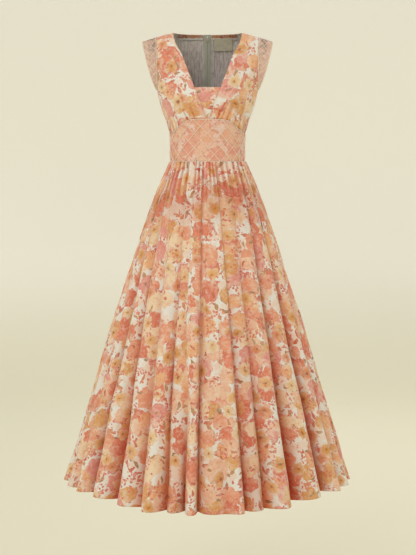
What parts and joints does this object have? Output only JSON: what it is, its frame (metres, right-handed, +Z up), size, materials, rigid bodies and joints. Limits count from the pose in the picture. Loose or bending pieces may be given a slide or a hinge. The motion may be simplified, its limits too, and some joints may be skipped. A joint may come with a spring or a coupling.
{
  "type": "maxi dress",
  "caption": "Sleeveless floor-length dress with a deep V neck, wide straps, lattice armhole trims and midriff, and a full gathered skirt in deep flutes, open inside as if worn.",
  "frame": {"origin": "at the shoulder hold: level with the neck points of the straps and midway between the shoulders, where the wearer's shoulders carry the dress", "axes": "+Z up along the body, the front of the dress faces -Y, +X is the viewer's right seen from the front"},
  "size_m": [0.9175, 0.8374, 1.4225],
  "materials": {
    "printed_cloth": "matt printed cloth, watercolour flowers in coral, peach, cream, ochre and rose on cool off-white",
    "yoke_cloth": "the same print, toned pink under the lattice net",
    "lattice_lace": "pale pink lattice braid on fine mauve net",
    "zip_tape": "woven grey-green zip tape",
    "label": "plain woven satin label, bare",
    "zip_metal": "small nickel-plated zip slider and pull"
  },
  "bodies": {
    "root": {"front_bodice_right": "printed_cloth", "front_bodice_left": "printed_cloth", "back_bodice_right": "printed_cloth", "back_bodice_left": "printed_cloth", "neck_inset": "printed_cloth", "back_neck_facing_right": "printed_cloth", "back_neck_facing_left": "printed_cloth", "midriff_front": "yoke_cloth", "midriff_back_right": "yoke_cloth", "midriff_back_left": "yoke_cloth", "midriff_lace_front": "lattice_lace", "midriff_lace_back_right": "lattice_lace", "midriff_lace_back_left": "lattice_lace", "armhole_trim_front_right": "lattice_lace", "armhole_trim_back_right": "lattice_lace", "armhole_trim_front_left": "lattice_lace", "armhole_trim_back_left": "lattice_lace", "skirt_front": "printed_cloth", "skirt_back_right": "printed_cloth", "skirt_back_left": "printed_cloth", "zip_tape_right": "zip_tape", "zip_tape_left": "zip_tape", "neck_label": "label", "zip_slider": "zip_metal"},
    "pull_tab": {"zip_pull_tab": "zip_metal"}
  },
  "joints": [
    {"name": "pull_tab_hinge", "type": "hinge", "parent": "root", "child": "pull_tab", "pos_m": [0, 0.07176, -0.01329], "axis": [1, 0, 0], "range_deg": [0, 165]}
  ]
}
